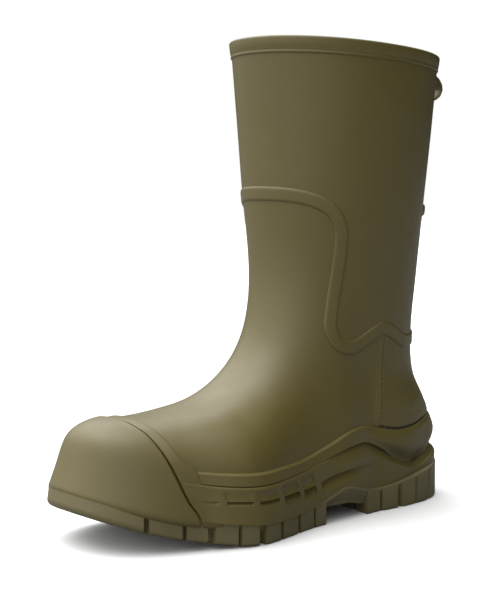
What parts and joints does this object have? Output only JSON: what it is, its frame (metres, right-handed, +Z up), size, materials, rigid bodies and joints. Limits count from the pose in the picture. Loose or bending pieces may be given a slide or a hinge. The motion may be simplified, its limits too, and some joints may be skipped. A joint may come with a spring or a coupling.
{
  "type": "rubber rain boot",
  "caption": "Mid-calf pull-on rain boot for the left foot in olive rubber, with seam bands, toe cap, mudguard, cleated sole, back pull loop and a lift-out footbed.",
  "frame": {"origin": "on the ground under the leg's axis, on the flat underside of the heel", "axes": "+Z up along the leg, -Y towards the toe, +X towards the outer side of this left boot"},
  "size_m": [0.1252, 0.3018, 0.2965],
  "materials": {
    "rubber_olive": "satin matte",
    "rubber_tread": "matte",
    "lining_knit": "matte",
    "stiffener_board": "matte",
    "leatherboard": "matte",
    "spring_steel": "satin",
    "cork_filler": "matte",
    "footbed_foam": "matte",
    "footbed_fabric": "matte"
  },
  "bodies": {
    "root": {"leg_panel": "rubber_olive", "vamp_panel": "rubber_olive", "heel_counter_panel": "rubber_olive", "seam_band": "rubber_olive", "rim_band": "rubber_olive", "heel_seam_strip_outer": "rubber_olive", "heel_seam_strip_inner": "rubber_olive", "rear_ledge": "rubber_olive", "pull_loop": "rubber_olive", "toe_cap": "rubber_olive", "toe_cap_strip": "rubber_olive", "mudguard": "rubber_olive", "midsole_sidewall": "rubber_olive", "outsole": "rubber_tread", "leg_lining": "lining_knit", "foot_lining": "lining_knit", "heel_stiffener": "stiffener_board", "toe_puff": "stiffener_board", "insole_board": "leatherboard", "shank": "spring_steel", "heel_filler": "cork_filler", "forefoot_filler": "cork_filler"},
    "footbed": {"footbed_foam": "footbed_foam", "footbed_cover": "footbed_fabric"}
  },
  "joints": [
    {"name": "footbed_lift", "type": "hinge", "parent": "root", "child": "footbed", "pos_m": [0.003, -0.178, 0.037], "axis": [1, 0, 0], "range_deg": [0, 5]}
  ]
}
